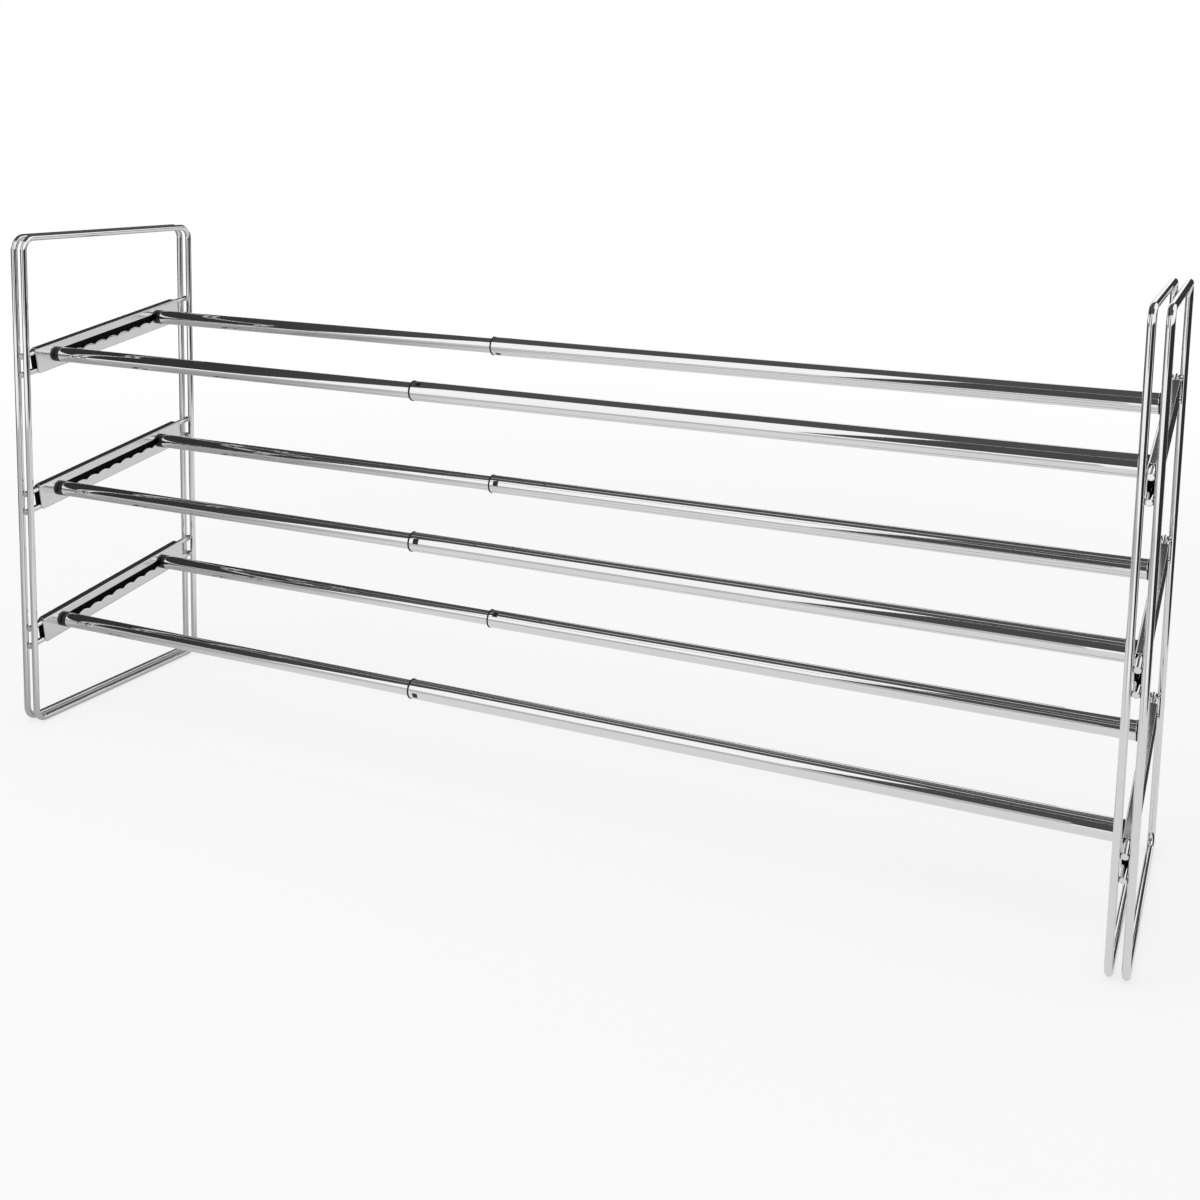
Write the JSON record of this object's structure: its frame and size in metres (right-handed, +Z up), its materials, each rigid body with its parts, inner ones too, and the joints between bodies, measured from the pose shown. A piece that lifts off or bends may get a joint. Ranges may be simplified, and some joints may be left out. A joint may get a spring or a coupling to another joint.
{
  "type": "pull out shoe rack",
  "caption": "Three-tier chrome-plated wire and tube shoe rack whose rails telescope so that it pulls out in width, and hook into scalloped slots in its end brackets.",
  "frame": {"origin": "on the floor, in the middle of the rack at rest", "axes": "+X along the rack to the right end, -Y to the front, +Z up"},
  "size_m": [1.03, 0.238, 0.48],
  "materials": {
    "chromed_wire": "bright chrome-plated steel wire",
    "chromed_tube": "bright chrome-plated steel tube",
    "chromed_sheet": "chrome-plated pressed steel sheet",
    "black_plastic": "fine satin moulded"
  },
  "bodies": {
    "left_end": {"left_outer_loop": "chromed_wire", "left_inner_loop": "chromed_wire", "left_tier1_rods": "chromed_wire", "left_tier1_bracket": "chromed_sheet", "left_tier1_cover": "black_plastic", "left_tier2_rods": "chromed_wire", "left_tier2_bracket": "chromed_sheet", "left_tier2_cover": "black_plastic", "left_tier3_rods": "chromed_wire", "left_tier3_bracket": "chromed_sheet", "left_tier3_cover": "black_plastic"},
    "right_end": {"right_outer_loop": "chromed_wire", "right_inner_loop": "chromed_wire", "right_tier1_rods": "chromed_wire", "right_tier1_bracket": "chromed_sheet", "right_tier1_cover": "black_plastic", "right_tier2_rods": "chromed_wire", "right_tier2_bracket": "chromed_sheet", "right_tier2_cover": "black_plastic", "right_tier3_rods": "chromed_wire", "right_tier3_bracket": "chromed_sheet", "right_tier3_cover": "black_plastic"},
    "tier1_front_outer_rail": {"tier1_front_outer_tube": "chromed_tube", "tier1_front_bush": "black_plastic", "tier1_front_outer_plug": "black_plastic"},
    "tier1_front_inner_rail": {"tier1_front_inner_tube": "chromed_tube", "tier1_front_glide": "black_plastic", "tier1_front_inner_plug": "black_plastic"},
    "tier1_rear_outer_rail": {"tier1_rear_outer_tube": "chromed_tube", "tier1_rear_bush": "black_plastic", "tier1_rear_outer_plug": "black_plastic"},
    "tier1_rear_inner_rail": {"tier1_rear_inner_tube": "chromed_tube", "tier1_rear_glide": "black_plastic", "tier1_rear_inner_plug": "black_plastic"},
    "tier2_front_outer_rail": {"tier2_front_outer_tube": "chromed_tube", "tier2_front_bush": "black_plastic", "tier2_front_outer_plug": "black_plastic"},
    "tier2_front_inner_rail": {"tier2_front_inner_tube": "chromed_tube", "tier2_front_glide": "black_plastic", "tier2_front_inner_plug": "black_plastic"},
    "tier2_rear_outer_rail": {"tier2_rear_outer_tube": "chromed_tube", "tier2_rear_bush": "black_plastic", "tier2_rear_outer_plug": "black_plastic"},
    "tier2_rear_inner_rail": {"tier2_rear_inner_tube": "chromed_tube", "tier2_rear_glide": "black_plastic", "tier2_rear_inner_plug": "black_plastic"},
    "tier3_front_outer_rail": {"tier3_front_outer_tube": "chromed_tube", "tier3_front_bush": "black_plastic", "tier3_front_outer_plug": "black_plastic"},
    "tier3_front_inner_rail": {"tier3_front_inner_tube": "chromed_tube", "tier3_front_glide": "black_plastic", "tier3_front_inner_plug": "black_plastic"},
    "tier3_rear_outer_rail": {"tier3_rear_outer_tube": "chromed_tube", "tier3_rear_bush": "black_plastic", "tier3_rear_outer_plug": "black_plastic"},
    "tier3_rear_inner_rail": {"tier3_rear_inner_tube": "chromed_tube", "tier3_rear_glide": "black_plastic", "tier3_rear_inner_plug": "black_plastic"}
  },
  "joints": [
    {"name": "pull_out", "type": "slide", "parent": "left_end", "child": "right_end", "axis": [1, 0, 0], "range_m": [-0.399, 0.151]},
    {"name": "tier1_front_hop", "type": "hinge", "parent": "right_end", "child": "tier1_front_outer_rail", "pos_m": [0.5024, -0.06167, 0.07845], "axis": [-1, 0, 0], "range_deg": [0, 54.45]},
    {"name": "tier1_front_hop_inner", "type": "hinge", "parent": "left_end", "child": "tier1_front_inner_rail", "pos_m": [-0.5024, -0.06167, 0.07845], "axis": [-1, 0, 0], "range_deg": [0, 54.45]},
    {"name": "tier1_rear_hop", "type": "hinge", "parent": "right_end", "child": "tier1_rear_outer_rail", "pos_m": [0.5024, 0.06647, 0.09783], "axis": [1, 0, 0], "range_deg": [0, 54.45]},
    {"name": "tier1_rear_hop_inner", "type": "hinge", "parent": "left_end", "child": "tier1_rear_inner_rail", "pos_m": [-0.5024, 0.06647, 0.09783], "axis": [1, 0, 0], "range_deg": [0, 54.45]},
    {"name": "tier2_front_hop", "type": "hinge", "parent": "right_end", "child": "tier2_front_outer_rail", "pos_m": [0.5024, -0.06167, 0.21265], "axis": [-1, 0, 0], "range_deg": [0, 54.45]},
    {"name": "tier2_front_hop_inner", "type": "hinge", "parent": "left_end", "child": "tier2_front_inner_rail", "pos_m": [-0.5024, -0.06167, 0.21265], "axis": [-1, 0, 0], "range_deg": [0, 54.45]},
    {"name": "tier2_rear_hop", "type": "hinge", "parent": "right_end", "child": "tier2_rear_outer_rail", "pos_m": [0.5024, 0.06647, 0.23203], "axis": [1, 0, 0], "range_deg": [0, 54.45]},
    {"name": "tier2_rear_hop_inner", "type": "hinge", "parent": "left_end", "child": "tier2_rear_inner_rail", "pos_m": [-0.5024, 0.06647, 0.23203], "axis": [1, 0, 0], "range_deg": [0, 54.45]},
    {"name": "tier3_front_hop", "type": "hinge", "parent": "right_end", "child": "tier3_front_outer_rail", "pos_m": [0.5024, -0.06167, 0.34685], "axis": [-1, 0, 0], "range_deg": [0, 54.45]},
    {"name": "tier3_front_hop_inner", "type": "hinge", "parent": "left_end", "child": "tier3_front_inner_rail", "pos_m": [-0.5024, -0.06167, 0.34685], "axis": [-1, 0, 0], "range_deg": [0, 54.45]},
    {"name": "tier3_rear_hop", "type": "hinge", "parent": "right_end", "child": "tier3_rear_outer_rail", "pos_m": [0.5024, 0.06647, 0.36623], "axis": [1, 0, 0], "range_deg": [0, 54.45]},
    {"name": "tier3_rear_hop_inner", "type": "hinge", "parent": "left_end", "child": "tier3_rear_inner_rail", "pos_m": [-0.5024, 0.06647, 0.36623], "axis": [1, 0, 0], "range_deg": [0, 54.45]}
  ],
  "couplings": [
    {"joint": "tier1_front_hop_inner", "follows": "tier1_front_hop", "ratio": 1},
    {"joint": "tier1_rear_hop_inner", "follows": "tier1_rear_hop", "ratio": 1},
    {"joint": "tier2_front_hop_inner", "follows": "tier2_front_hop", "ratio": 1},
    {"joint": "tier2_rear_hop_inner", "follows": "tier2_rear_hop", "ratio": 1},
    {"joint": "tier3_front_hop_inner", "follows": "tier3_front_hop", "ratio": 1},
    {"joint": "tier3_rear_hop_inner", "follows": "tier3_rear_hop", "ratio": 1}
  ]
}
